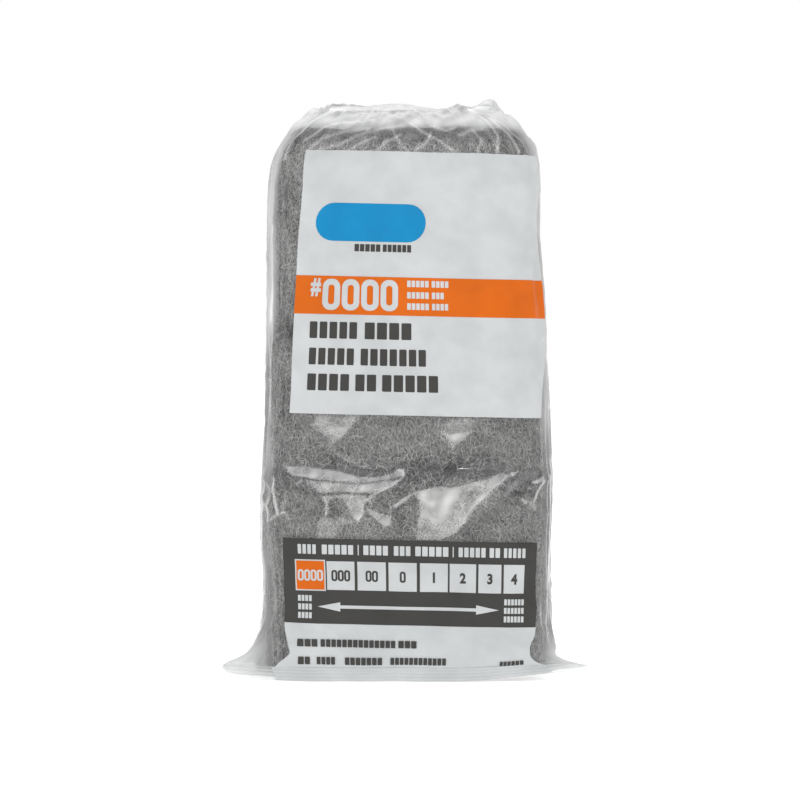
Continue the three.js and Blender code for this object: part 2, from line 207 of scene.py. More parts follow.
CREASES = [
    (-50, 88, 45, 88, -0.7, 3, 3, 2),
    # the edges beside the lips
    (-62, 81, -46, 71, 0.9, 1.1, 1.1, 1),
    (-62, 73, -47, 63, 0.8, 1.1, 1.1, 0.6),
    (-60, 62, -48, 70, 0.6, 1.1, 1.1, 0.4),
    (44, 74, 62, 80, 0.9, 1.4, 1.1, 0.8),
    (45, 72, 60, 60, 0.8, 1.1, 1.1, 0.5),
    # soft swells under the upper field
    (-2, 192, 10, 160, 0.5, 5, 5, 2),
    (11, 136, 36, 118, 0.6, 4.5, 4.5, 1.5),
    (-36, 128, -20, 112, 0.4, 4, 4, -1),
    (-30, 196, -8, 201, 0.5, 2.5, 2.5, 1),
    # soft swells under the lower field
    (6, 20, 44, 3, 0.9, 3.4, 3.4, -2.5),
    (14, 31, 47, 14, 0.6, 3, 3, -2),
    (-40, 18, -14, 6, 0.5, 3.4, 3.4, 1.5),
    # the long fold down the right edge
    (54, 150, 60, 100, 0.9, 1.3, 1.3, 0.8),
    (50, 178, 57, 160, 0.5, 1.4, 1.4, 0.5),
    # folds that gather from the ears
    (-57, 9, -47, 38, 1, 1.4, 1.4, 1.2),
    (-58, 8, -53, 50, 0.9, 1.3, 1.3, -1),
    (-54, 8, -34, 20, 0.6, 1.3, 1.3, 1),
    (47, 38, 57, 9, 1, 1.4, 1.4, 1.2),
    (53, 46, 58, 8, 0.9, 1.3, 1.3, -1),
    (33, 19, 54, 8, 0.6, 1.3, 1.3, 1),
    # folds that gather at the ends of the top seal
    (34, 250, 52, 200, 1.2, 1.6, 1.6, 2),
    (36, 248, 60, 208, 1.2, 1.6, 1.6, -1.5),
    (32, 249, 42, 203, 1, 1.8, 1.8, 1.5),
    (28, 249, 30, 205, 0.8, 2, 2, -1),
    (-52, 200, -34, 250, 1.2, 1.6, 1.6, 2),
    (-60, 208, -36, 248, 1.1, 1.6, 1.6, -1.5),
    (-38, 204, -30, 249, 0.9, 1.8, 1.8, 1.2),
    (-20, 250, -18, 208, 0.6, 2.2, 2.2, 1),
    (4, 250, 8, 210, 0.6, 2.4, 2.4, -1),
]


def loose_creases():
    """Creases with no set place: few and faint on the front, more on the sides, back and top."""

    def draw(*ranges):
        return [rng.uniform(low, high) for low, high in ranges]

    def across(t, m, reach, turn, height, breadth):
        dt, dm = reach * math.cos(turn), reach * math.sin(turn)
        return t - dt, m - dm, t + dt, m + dm, height, breadth, breadth, rng.uniform(-2.5, 2.5)

    found = []
    for _ in range(22):
        found.append(across(*draw((-46, 46), (15, 195), (8, 22), (0, np.pi), (0.1, 0.35), (1.5, 5))))
    for side in (-1, 1):
        for _ in range(34):
            t, *rest = draw((66, 178), (10, 205), (12, 34), (1.2, 1.95), (0.2, 0.6), (1.5, 4))
            found.append(across(side * t, *rest))
        for _ in range(16):
            start, end, foot, height = draw((20, 120), (20, 178), (200, 222), (0.4, 1))
            found.append((side * start, 246, side * (start + end) / 2, foot, height, 1.8, 1.8, 1.0))
        for _ in range(8):
            end, top, height = draw((62, 120), (24, 60), (0.5, 1))
            found.append((side * 59, 8, side * end, top, height, 1.5, 1.5, 1.0))
    return found


CREASES += loose_creases()


def ridge(t, m, line, pleat):
    """How high one fold stands at (t, m): it tapers to its ends and falls off down its flanks."""
    t0, m0, t1, m1, height, above, below, bow = line
    dt, dm = t1 - t0, m1 - m0
    length = math.hypot(dt, dm)
    s = np.clip(((t - t0) * dt + (m - m0) * dm) / length**2, 0, 1)
    taper = np.sin(np.pi * s) ** 0.8
    off = ((t - t0) * dm - (m - m0) * dt) / length - 4 * bow * s * (1 - s)
    blunt = 0.3 if pleat else 0.35
    away = (np.hypot(off, blunt) - blunt) / np.where(off < 0, above, below)
    if pleat:
        return height * np.maximum(taper - away, 0)
    return height * taper * np.exp(-away)


def folded(t, m):
    """How far the film's folds and swells stand out of its plain form."""
    side = bump(np.abs(t), 44, 58)
    out = 0.4 * (1 - side) * waves(t, m, 30, 3) + 0.1 * waves(t, m, 10, 4) + 0.012 * waves(t, m, 3.5, 5)
    out = out + side * (0.55 * waves(t, m, 16, 6, stretch=2.6, level=0.25))
    roof = 0.25 * waves(t, m, 9, 12, stretch=1.6, level=0.6)
    out = out + roof * bump(m, 196, 206) * (1 - bump(m, 226, 242))
    for pleat, lines in ((True, PLEATS), (False, CREASES)):
        for line in lines:
            out = out + ridge(t, m, line, pleat)
    # The bottom stays flat on the floor, and the plies of the top seal and of the lap stay together.
    out = out * bump(m, -3, 8) * (1 - bump(m, 246, FIN_FOOT))
    return out * (1 - bump(np.abs(t), BACK - 18, BACK - 8))


def film(t, m, out=0.0):
    """The film's place, or the place of what lies outside it by out."""
    t, m = np.asarray(t, float), np.asarray(m, float)
    lap = 0.4 * bump(t, BACK - 9, BACK - 6) * bump(m, 0, 6)
    return plain_film(t, m) + normal(t, m) * (folded(t, m) + lap + out)[..., None]


# Meshes


def mesh(name, points, faces, material, smooth=True):
    """A piece that rides on the bag, from points in millimetres."""
    made = bpy.data.meshes.new(name)
    made.from_pydata((np.asarray(points, float).reshape(-1, 3) / 1000).tolist(), [], faces)
    made.materials.append(material)
    if smooth:
        made.shade_smooth()
    piece = bpy.data.objects.new(name, made)
    bpy.context.scene.collection.objects.link(piece)
    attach(piece, "root")
    return piece


def grid_faces(rows, columns, wrap=False):
    """Quads over rows of points, which face out where the columns run anticlockwise."""
    k = np.arange((rows - 1) * columns).reshape(rows - 1, columns)
    if not wrap:
        k = k[:, :-1]
    right = np.where(k % columns == columns - 1, k - columns + 1, k + 1)
    return np.stack([k, right, right + columns, k + columns], -1).reshape(-1, 4).tolist()


def stations(points):
    """Places from (place, spacing) pairs: each stretch is cut at its own spacing."""
    out = [points[0][0]]
    for (start, step), (end, _) in zip(points, points[1:]):
        count = max(1, round((end - start) / step))
        out += list(start + (end - start) * np.arange(1, count + 1) / count)
    return np.array(out)


def paint(piece, name, values):
    """Gives each vertex a value that the film's shader reads."""
    made = piece.data.attributes.new(name, "FLOAT", "POINT")
    made.data.foreach_set("value", np.asarray(values, float).ravel())


# Materials


def material(name):
    """A new material, its nodes, its links and its shader."""
    made = bpy.data.materials.new(name)
    made.use_nodes = True
    nodes, links = made.node_tree.nodes, made.node_tree.links
    return made, nodes, links, nodes["Principled BSDF"]


def noise(nodes, links, scale, detail, stretch=(1, 1, 1)):
    """Noise in the piece's own space, as a socket."""
    place = nodes.new("ShaderNodeTexCoord")
    mapping = nodes.new("ShaderNodeMapping")
    mapping.inputs["Scale"].default_value = stretch
    made = nodes.new("ShaderNodeTexNoise")
    made.inputs["Scale"].default_value = scale
    made.inputs["Detail"].default_value = detail
    links.new(place.outputs["Object"], mapping.inputs["Vector"])
    links.new(mapping.outputs["Vector"], made.inputs["Vector"])
    return made.outputs["Fac"]


def ramp(nodes, links, value, low, high, stops):
    """Two colours, one where the value is low and one where it is high, as a socket."""
    made = nodes.new("ShaderNodeValToRGB")
    made.color_ramp.elements[0].position, made.color_ramp.elements[1].position = low, high
    for element, colour in zip(made.color_ramp.elements, stops):
        element.color = (*colour, 1)
    links.new(value, made.inputs["Fac"])
    return made.outputs["Color"]


def bumped(nodes, links, value, shader, strength, distance):
    """Lets a value roughen a shader's surface."""
    made = nodes.new("ShaderNodeBump")
    made.inputs["Strength"].default_value = strength
    made.inputs["Distance"].default_value = distance
    links.new(value, made.inputs["Height"])
    links.new(made.outputs["Normal"], shader.inputs["Normal"])


def ink_material(name, colour):
    """Ink on film, a little mottled."""
    made, nodes, links, shader = material(name)
    mottle = noise(nodes, links, 90, 5)
    darker = tuple(0.9 * c for c in colour)
    links.new(ramp(nodes, links, mottle, 0.35, 0.65, [darker, colour]), shader.inputs["Base Color"])
    shader.inputs["Roughness"].default_value = 0.4
    shader.inputs["Specular IOR Level"].default_value = 0.22
    bumped(nodes, links, noise(nodes, links, 260, 3), shader, 0.25, 0.0004)
    return made


def wool_material(name, low, high, metallic):
    """Matted steel fibre: a fine grain with dark gaps, a little longer up the pad than across."""
    made, nodes, links, shader = material(name)
    grain = noise(nodes, links, 1, 4, (1500, 1500, 900))
    links.new(ramp(nodes, links, grain, 0.36, 0.64, [low, high]), shader.inputs["Base Color"])
    shader.inputs["Metallic"].default_value = metallic
    shader.inputs["Roughness"].default_value = 0.5
    bumped(nodes, links, grain, shader, 0.8, 0.0005)
    return made


def film_material():
    """Clear film: glossy, milky as "haze" says, with painted highlights of loose folds as "gleam" says."""
    made, nodes, links, shader = material("clear_film")
    nodes.remove(shader)
    clear = nodes.new("ShaderNodeBsdfTransparent")
    clear.inputs["Color"].default_value = (0.97, 0.975, 0.98, 1)
    gloss = nodes.new("ShaderNodeBsdfGlossy")
    gloss.inputs["Roughness"].default_value = 0.14
    fresnel = nodes.new("ShaderNodeFresnel")
    fresnel.inputs["IOR"].default_value = 1.5
    twice = nodes.new("ShaderNodeMath")
    twice.operation = "MULTIPLY"
    twice.inputs[1].default_value = 2.0
    twice.use_clamp = True
    front, behind = nodes.new("ShaderNodeBsdfDiffuse"), nodes.new("ShaderNodeBsdfTranslucent")
    front.inputs["Color"].default_value = (0.98, 0.985, 0.98, 1)
    behind.inputs["Color"].default_value = (0.97, 0.98, 0.98, 1)
    cloud = nodes.new("ShaderNodeMixShader")
    cloud.inputs["Fac"].default_value = 0.35
    links.new(front.outputs["BSDF"], cloud.inputs[1])
    links.new(behind.outputs["BSDF"], cloud.inputs[2])
    # Painted highlight: this white diffuse shader is added on top of the film wherever "gleam" is painted.
    light = nodes.new("ShaderNodeBsdfDiffuse")
    light.inputs["Color"].default_value = (1, 1, 0.99, 1)

    def by(name):
        amount = nodes.new("ShaderNodeAttribute")
        amount.attribute_name = name
        return amount.outputs["Fac"]

    shiny, milky, gleam = (nodes.new("ShaderNodeMixShader") for _ in range(3))
    both = nodes.new("ShaderNodeAddShader")
    links.new(fresnel.outputs["Fac"], twice.inputs[0])
    links.new(twice.outputs["Value"], shiny.inputs["Fac"])
    links.new(clear.outputs["BSDF"], shiny.inputs[1])
    links.new(gloss.outputs["BSDF"], shiny.inputs[2])
    links.new(by("haze"), milky.inputs["Fac"])
    links.new(shiny.outputs["Shader"], milky.inputs[1])
    links.new(cloud.outputs["Shader"], milky.inputs[2])
    links.new(by("gleam"), gleam.inputs["Fac"])
    links.new(light.outputs["BSDF"], gleam.inputs[2])
    links.new(milky.outputs["Shader"], both.inputs[0])
    links.new(gleam.outputs["Shader"], both.inputs[1])
    links.new(both.outputs["Shader"], nodes["Material Output"].inputs["Surface"])
    return made


INKS = {
    "white_ink": ink_material("white_ink", (0.595, 0.612, 0.614)),
    "orange_ink": ink_material("orange_ink", (0.7, 0.132, 0.0)),
    "dark_ink": ink_material("dark_ink", (0.052, 0.051, 0.047)),
    "blue_ink": ink_material("blue_ink", (0.0, 0.25, 0.53)),
}
WOOL = wool_material("steel_wool", (0.033, 0.0325, 0.031), (0.32, 0.314, 0.3), 0.3)
FIBRE = wool_material("steel_fibre", (0.42, 0.414, 0.397), (0.88, 0.868, 0.84), 0.4)
FILM = film_material()


# The film

LAP = 5.5  # how far each end of the sheet runs past the middle of the back
OFF_FLOOR = 0.05
FIN_RIB_PITCH = 1.6

# Painted highlights where loose film would catch the light over the wool: corners in (t, m), softness
# at the edge, gleam. A patch with a gleam below 0 is painted shade, a darker place in another one.
PATCHES = [
    # the lips' upper band
    ([(-47.5, 82.8), (-44.6, 81.6), (-37.9, 81.6), (-32.1, 80.9), (-26.6, 80.1), (-22.3, 79.1),
      (-18.8, 78), (-14.9, 77.5), (-10.2, 77.9), (-5.9, 79.1), (-3.2, 80.9), (-1.6, 80.5),
      (-1.2, 78.5), (-4.3, 77.7), (-7.5, 76.9), (-13.3, 76), (-18.8, 75.8), (-25, 76.2),
      (-31.3, 76.8), (-35.2, 77.1), (-39.1, 77.9), (-43, 78.1), (-45, 79.7)], 0.5, 0.21),
    # the lips' lower band
    ([(-37.9, 76.4), (-31.3, 76.2), (-25, 75.6), (-18.8, 75.2), (-13.3, 75.4), (-7.5, 76.6),
      (-2.8, 76.8), (-6.3, 74), (-10.6, 72.3), (-13.3, 71.7), (-18.8, 71.9), (-25, 72.3),
      (-29, 72.1), (-32.1, 71.9), (-34.8, 73.8)], 0.8, 0.19),
    # the small upright pocket on the left, and the film below it
    ([(-30.7, 70.7), (-27, 70.7), (-24.3, 71.3), (-18.8, 71.1), (-14.5, 70.9), (-14.9, 69.5),
      (-15.9, 68), (-16.1, 62.9), (-18, 60.9), (-20, 63.3), (-21.5, 66.4), (-23.5, 69.5),
      (-26.6, 69.7), (-28.6, 68.7), (-29.7, 69.5)], 0.8, 0.2),
    ([(-25.8, 62.9), (-18.8, 60.9), (-21.1, 59.7), (-25, 59)], 1.2, 0.1),
    ([(-30.9, 63.3), (-25.8, 61.3), (-24.7, 58.2), (-25.4, 54.5), (-32.5, 54.5),
      (-32.9, 60.1)], 2, 0.12),
    # the sliver between the pocket and the puffed film
    ([(-15.1, 66.6), (-13.7, 65.6), (-10.2, 64.2), (-7.8, 63.5), (-5.5, 62.9), (-5.5, 59),
      (-7.8, 58.8), (-10.6, 61.1), (-13.3, 63.5)], 0.5, 0.22),
    # the left end of the loose lens under the upper field, and its brighter middle
    ([(-36.8, 98.1), (-32.9, 101.6), (-18.8, 101.6), (-21.5, 96.1), (-24.7, 92.6), (-27.4, 91),
      (-31.3, 93.4), (-34.4, 95.7)], 3, 0.13),
    ([(-29.7, 96.5), (-21.9, 98.1), (-23.1, 94.5), (-26.6, 92.2), (-29, 93.8)], 1.5, 0.07),
    # the puffed film on the right, its brighter middle and its two darker places
    ([(2.4, 71.5), (5.1, 72.6), (9, 73.4), (13, 74), (16.1, 73.6), (19.2, 74.2), (24.7, 75.8),
      (30.5, 77.7), (36.4, 79.7), (37.6, 78.3), (32.5, 73.8), (28.6, 69.9), (26.2, 67.6),
      (24.3, 65.2), (22.7, 62.5), (21.6, 60.1), (19.2, 56.6), (16.1, 55.1), (12.2, 53.5),
      (3.6, 53.5), (4.4, 58.2), (5.1, 62.1), (5.5, 66.4), (4.7, 69.1)], 0.7, 0.18),
    ([(4.7, 71.5), (13, 73), (21.6, 73.8), (19.2, 68), (16.1, 60.9), (10.2, 60.1),
      (6.7, 62.9), (6.3, 68)], 2, 0.1),
    ([(24.7, 73.4), (27.4, 71.9), (24.7, 68), (21.9, 65.6), (21.2, 68.7), (22.7, 71.9)], 1.2, -0.11),
    ([(3.2, 58.6), (10.2, 59), (13, 52.7), (3.2, 52.7)], 2, -0.07),
    # the puffed film's tip, and the strip that leads to it from the left
    ([(38, 79.5), (42.1, 80.3), (41.3, 79.5), (38.8, 77.9)], 0.4, 0.22),
    ([(-5, 66.8), (-2.7, 68.5), (-0.3, 70.1), (2, 71.4), (2.4, 70.7), (-0.3, 68.3),
      (-4.2, 65.6)], 0.6, 0.14),
    # the right end of the loose lens, and the film round it
    ([(13.7, 94.9), (16.1, 91.8), (17.2, 88.9), (18.6, 90.6), (21.6, 92.6), (24.3, 95.7),
      (21.6, 95.1), (18.4, 94.7), (15.7, 94.1)], 0.9, 0.18),
    ([(12.2, 100.4), (25.5, 100.4), (23.9, 94.5), (17.6, 91.4), (14.1, 94.5)], 2.5, 0.07),
    # the film past the tip, and the flaps at the right edge
    ([(42.3, 79.7), (49.3, 80.5), (48.1, 77.3), (43.4, 75.8), (37.2, 70.7), (34.8, 69.5),
      (38.8, 75)], 1.2, 0.07),
    ([(46.2, 75.8), (49.7, 76.9), (52.8, 78.9), (52.8, 75.8), (48.1, 75.2)], 0.7, 0.22),
    ([(45.8, 68), (48.1, 68.9), (50.1, 64.4), (46.2, 66)], 0.7, 0.14),
]
# Painted highlights along folds that shine: the line through (t, m), its breadth, gleam.
GLINTS = [
    # the lips' right edge, down into the pocket, and their top
    ([(-3.2, 81.1), (-1.6, 80.5), (-1.1, 78.7), (-2.8, 76.8), (-5.9, 74.2), (-9.8, 72.6),
      (-12.5, 71.1), (-14.5, 69.1), (-15.7, 67.6), (-16.1, 66), (-16, 63.3),
      (-17.6, 61.1)], 0.4, 0.26),
    ([(-47.5, 82.8), (-44.6, 81.7), (-37.9, 81.7), (-26.6, 80.2), (-18.8, 78.1), (-14.9, 77.6),
      (-10.2, 78), (-5.9, 79.2), (-3.2, 80.9)], 0.35, 0.08),
    # the pocket's left edge, and the lens's lower one
    ([(-30.9, 70.1), (-29.5, 68), (-29.2, 66), (-29.3, 63.7)], 0.4, 0.34),
    ([(-29, 90.2), (-27.8, 87.9), (-25, 85.5), (-21.1, 83.6), (-17.6, 82),
      (-14.1, 81.6)], 0.4, 0.1),
    # the folds at the left edge of the joint
    ([(-51.2, 77.3), (-50.7, 71.9), (-49.3, 67.6), (-47.9, 64)], 0.45, 0.45),
    ([(-51.2, 61.3), (-48.5, 62.9), (-45.4, 64)], 0.5, 0.22),
    ([(-44.6, 69.9), (-46.1, 66), (-43.4, 62.1)], 0.8, 0.1),
    ([(-53.4, 69.9), (-53.6, 60.5)], 0.5, 0.3),
    # the puffed film's lower edge and its top
    ([(37.6, 78.3), (32.5, 73.8), (28.6, 69.9), (26.2, 67.8), (24.3, 65.4), (22.3, 61.7),
      (20.8, 60.1)], 0.5, 0.16),
    ([(-5, 66.4), (-0.3, 70), (2.4, 71.7), (9, 73.5), (13, 74.1), (16.1, 73.7)], 0.5, 0.1),
    # the lens's right end, and the folds at the right edge of the joint
    ([(13.7, 95.3), (16.1, 91.8), (17.1, 88.9)], 0.4, 0.12),
    ([(52.1, 75.8), (49.7, 71.9), (48.5, 69.1)], 0.4, 0.42),
    ([(43.1, 69.3), (45, 67.6)], 0.5, 0.3),
    # folds down the edges of the upper rows
    ([(54, 137), (57, 122), (61, 104)], 0.5, 0.4),
    ([(58, 144), (60, 132)], 0.5, 0.3),
    ([(-55, 174), (-55.4, 152), (-57, 138)], 1.1, 0.28),
    ([(-57, 136), (-54, 131), (-50, 133)], 0.6, 0.16),
    # streaks over the top row
    ([(-44, 207), (-38, 213), (-28, 216.6), (-16, 217)], 0.6, 0.2),
    ([(-41, 203), (-36, 208.6), (-27, 211.6), (-17, 212)], 0.8, 0.18),
    ([(-36, 203.6), (-28, 205.6), (-22, 209), (-12, 212), (-2, 214)], 0.8, 0.16),
    ([(-24, 203), (-19, 206), (-13, 208.6)], 0.5, 0.2),
    ([(-12, 203), (-8, 206.4), (-2, 209.4)], 0.5, 0.2),
    ([(1, 203), (-3, 207), (-6, 212)], 0.4, 0.24),
    ([(4, 203), (9, 206), (12, 211)], 0.5, 0.2),
    ([(2, 216), (8, 211), (14, 207.6), (20, 203)], 0.5, 0.28),
    ([(14, 214), (19, 211.6), (24, 213)], 0.5, 0.24),
    ([(24, 209), (29, 211), (36, 212)], 0.7, 0.2),
    ([(30, 203), (33, 207), (31, 211)], 0.5, 0.2),
    ([(38, 203), (41, 209), (40, 216), (36, 224)], 0.6, 0.24),
    ([(47, 203), (46, 210), (42, 219), (37, 230)], 0.6, 0.24),
    ([(-50, 200), (-49, 208), (-44, 218), (-36, 230)], 0.7, 0.24),
]


def seen_patch(t, m, corners, soft):
    """1 inside a closed outline and 0 outside it, soft by so much at the edge."""
    inside = np.zeros(t.shape, bool)
    away = np.full(t.shape, 1e9)
    for (t0, m0), (t1, m1) in zip(corners, corners[1:] + corners[:1]):
        away = np.minimum(away, line_distance(t, m, t0, m0, t1, m1))
        if m0 != m1:
            inside ^= ((m0 > m) != (m1 > m)) & (t < (t1 - t0) * (m - m0) / (m1 - m0) + t0)
    return bump(np.where(inside, away, -away), -0.4 * soft, 0.6 * soft)


def line_distance(t, m, t0, m0, t1, m1):
    """How far (t, m) is from the line between two places."""
    dt, dm = t1 - t0, m1 - m0
    s = np.clip(((t - t0) * dt + (m - m0) * dm) / (dt * dt + dm * dm), 0, 1)
    return np.hypot(t - t0 - s * dt, m - m0 - s * dm)


def haze_at(t, m):
    """How milky the film is, from 0 to 1."""
    side = np.abs(t)
    haze = 0.04 + 0.02 * waves(t, m, 18, 8)
    # Down the front's corners, where the film gathers, ragged and slow to fade on the side walls
    ragged = side + 7 * waves(t, m, 26, 43, level=0.5) * bump(side, 60, 68)
    uneven = m + 16 * waves(t, m, 30, 44) * bump(side, 56, 68)
    slow = 34 * bump(side, 54, 68)
    left = 0.16 + 0.48 * bump(uneven, 128 - slow, 142 + slow)
    right = 0.1 + 0.36 * bump(uneven, 84 - slow, 104 + slow)
    haze += bump(side, 50.5, 56) * (1 - 0.9 * bump(ragged, 57, 76)) * np.where(t < 0, left, right)
    haze += 0.05 * bump(side, 44, 52)
    haze += 0.06 * bump(side, 46, 60) * waves(t, m, 14, 16, stretch=2.2, level=0.3)
    # Over the roof, and a little of it on the wall below
    haze += (0.46 + 0.12 * waves(t, m, 9, 21)) * bump(m, 210, 216) * (1 - 0.45 * bump(m, 217, 228))
    haze += 0.06 * bump(m, 196, 210) * (1 + waves(t, m, 7, 22))
    # At the ears, along the lap down the back, and on the ribs of the top seal
    haze += 0.45 * bump(-m, -20, -5) * bump(side, 46, 58) * (1 - bump(side, 66, 88))
    haze += 0.05 * bump(side, BACK - 6.4, BACK - 5.6) * bump(m, 2, 8)
    haze += 0.15 * (np.cos(2 * np.pi * m / FIN_RIB_PITCH) + 1) * bump(m, FIN_FOOT, FIN_FOOT + 1)
    return haze


def folds_at(t, m):
    """How much painted highlight the patches of loose film get, and how much their edges get."""
    patched, shining = np.zeros(t.shape), np.zeros(t.shape)
    front = (np.abs(t) < 64) & (m > 40)
    ft, fm = t[front], m[front]
    for corners, soft, value in PATCHES:
        patched[front] += value * seen_patch(ft, fm, corners, soft)
    for line, breadth, value in GLINTS:
        away = np.full(ft.shape, 1e9)
        for (t0, m0), (t1, m1) in zip(line, line[1:]):
            away = np.minimum(away, line_distance(ft, fm, t0, m0, t1, m1))
        shining[front] += value * hill(away, 0, breadth)
    return patched * (1 + 0.25 * waves(t, m, 7, 41)), shining


def make_film():
    """The bag: one sheet from seal to seal, whose ends lap down the back."""
    end = BACK + LAP
    ts = stations([(-end, 2.6), (-118, 2.0), (-62, 0.65), (62, 2.0), (118, 2.6), (end, 0)])
    ms = stations([(UNDERSIDE, 8), (-12, 1.5), (8, 1.1), (52, 0.5), (104, 1.5), (198, 0.8),
                   (250, 0.4), (FIN_EDGE, 0)])
    t, m = np.meshgrid(ts, ms)
    points = film(t, m)
    points[..., 2] = np.maximum(points[..., 2], OFF_FLOOR)
    piece = mesh("clear_film_bag", points, grid_faces(*t.shape), FILM)
    # Painted highlights: the patches and glints go into "gleam", with a painted highlight over the roof; the
    # patches also make the film milkier.
    patched, shining = folds_at(t, m)
    roof = 0.23 * bump(m, 211.5, 217) * (1 - 0.6 * bump(m, 222, 236)) * (1 + 0.35 * waves(t, m, 11, 42))
    paint(piece, "haze", np.clip(haze_at(t, m) + 0.3 * patched, 0.02, 0.9))
    paint(piece, "gleam", np.clip(0.95 * patched + shining + roof, 0, 0.7))
    return piece


bag = make_film()
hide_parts("bag_film")

# The two vents in the back, each a milky rim
VENT_REACH, VENT_HEIGHT, VENT_RADII = 24, 190, (2.5, 2.9, 3.3)
for name, middle in (("vent_right", VENT_REACH - BACK), ("vent_left", BACK - VENT_REACH)):
    turn, radius = np.meshgrid(np.linspace(0, 2 * np.pi, 33)[:-1], VENT_RADII)
    rim_t, rim_m = middle + radius * np.cos(turn), VENT_HEIGHT + radius * np.sin(turn)
    rim = mesh(name, film(rim_t, rim_m, 0.1), grid_faces(*turn.shape, wrap=True), FILM)
    paint(rim, "haze", 0.75 + 0 * turn)


# The print: flat shapes in print millimetres, laid on the front of the film

PRINT_LEFT, PRINT_RIGHT = -45, 51  # the print's own edges before it is laid on
TILT = 2.1  # how far the print drops from its left edge to its right

# Where the print's edges lie on the film, as t by height, and how far it wraps round to the right.
print_left = curve([(0, -47), (6, -47), (8, -46), (10, -43.8), (14, -45.2), (18, -46.8),
                    (22, -47.4), (54, -45.6), (101, -45.2), (147, -43.2), (190, -40.6),
                    (205, -41.4)], 1)
print_right = curve([(0, 50), (4, 50), (6.5, 47.5), (10, 46.4), (14, 46.5), (19, 49.4), (54, 49.7),
                     (101, 52.3), (190, 52.4), (205, 55.2)], 1)
print_wrap = curve([(0, 0), (101, 0), (130, 4), (146, 6.8), (165, 7.6), (190, 7.2), (205, 0)], 2)

# How far ink lies outside the film, each over what it is printed on.
ON_FILM, ON_FIELD, ON_BAND, ON_WINDOW = 0.12, 0.2, 0.27, 0.35
RIM_OUT, WINDOW_OUT, FOOT_OUT = 0.24, 0.29, 0.4
FLARE_TOP = 24


def lay_print(x, z, out, steady=False):
    """Where the print's point (x, z) lies on the film. Steady leaves out the flare at its foot."""
    share = (x - PRINT_LEFT) / (PRINT_RIGHT - PRINT_LEFT)
    edge = np.maximum(z, FLARE_TOP) if steady else z
    left, right = print_left(edge), print_right(edge)
    t = left + share * (right - left) + print_wrap(z) * bump(share, 0.72, 1)
    m = z - 1 - TILT * (share - 0.5) * bump(z, 2, 16)
    return film(t, m, out)


def field(name, left, right, low, high, slot, out, step=0.85):
    """A rectangle of ink."""
    xs = np.linspace(left, right, max(2, round((right - left) / step) + 1))
    zs = np.linspace(low, high, max(2, round((high - low) / step) + 1))
    x, z = np.meshgrid(xs, zs)
    piece = mesh(name, lay_print(x, z, out), grid_faces(*x.shape), INKS[slot])
    return piece


GUIDE_TOP = 54.5
upper = field("upper_field", PRINT_LEFT, PRINT_RIGHT, 102.4, 203.5, "white_ink", ON_FILM)
lower = field("lower_field", PRINT_LEFT, PRINT_RIGHT, 2, GUIDE_TOP, "white_ink", ON_FILM)
band = field("grade_band", PRINT_LEFT, PRINT_RIGHT, 140.7, 155.4, "orange_ink", ON_FIELD)
guide = field("grade_guide", PRINT_LEFT, PRINT_RIGHT, 21.8, GUIDE_TOP, "dark_ink", ON_FIELD)
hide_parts("print_upper_field")
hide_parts("print_lower_field")
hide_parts("print_grade_band")
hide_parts("print_grade_guide")

# The windows of the grade guide, the first of them orange with a rim
GRADES = ["0000", "000", "00", "0", "1", "2", "3", "4"]
WINDOWS = [(-40, -29.6), (-28.6, -18.2), (-17.1, -6.4), (-5.4, 5.2), (6.4, 16.9), (17.6, 27.5),
           (28.4, 37), (37.9, 45.8)]
WINDOW_MIDDLE, WINDOW_HALF, RIM = 40.4, 5.5, 0.5
window_low, window_high = WINDOW_MIDDLE - WINDOW_HALF, WINDOW_MIDDLE + WINDOW_HALF
for i, (left, right) in enumerate(WINDOWS):
    name, slot = f"grade_window_{i}", "white_ink"
    if i == 0:
        field("grade_square_rim", left - RIM, right + RIM, window_low - RIM, window_high + RIM, slot, RIM_OUT)
        name, slot = "grade_square", "orange_ink"
    square = field(name, left, right, window_low, window_high, slot, WINDOW_OUT)
    if i == 0:
        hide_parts("print_grade_square")


def stamp(name, flat, slot, out, step=1.3):
    """Flat shapes, a bmesh in x and z, cut fine enough to follow the film and laid on it."""
    place = np.array([v.co[:2] for v in flat.verts])
    for axis in (0, 1):
        for at in np.arange(place[:, axis].min() + step / 2, place[:, axis].max(), step):
            across = Vector((at, 0, 0) if axis == 0 else (0, at, 0))
            every = flat.verts[:] + flat.edges[:] + flat.faces[:]
            bmesh.ops.bisect_plane(flat, geom=every, plane_co=across, plane_no=across.normalized())
    bmesh.ops.remove_doubles(flat, verts=flat.verts, dist=0.01)
    place = np.array([v.co[:2] for v in flat.verts])
    faces = [[v.index for v in (f.verts if f.normal.z > 0 else reversed(f.verts))] for f in flat.faces]
    piece = mesh(name, lay_print(place[:, 0], place[:, 1], out, steady=True), faces, INKS[slot])
    flat.free()
    return piece


def outline(shapes):
    """A bmesh of one face for each list of corners."""
    flat = bmesh.new()
    for shape in shapes:
        flat.faces.new([flat.verts.new((x, z, 0)) for x, z in shape])
    flat.normal_update()
    flat.verts.index_update()
    return flat


def bar(left, right, low, high, roundness=1.0):
    """A bar's corners, anticlockwise. Roundness is 1 for round ends and near 0 for square ones."""
    r = (high - low) / 2 * roundness
    corners = [(right - r, low + r, -90), (right - r, high - r, 0),
               (left + r, high - r, 90), (left + r, low + r, 180)]
    turns = [(x, z, math.radians(a + 90 * k / 6)) for x, z, a in corners for k in range(7)]
    points = [(round(x + r * math.cos(a), 4), round(z + r * math.sin(a), 4)) for x, z, a in turns]
    return list(dict.fromkeys(points))


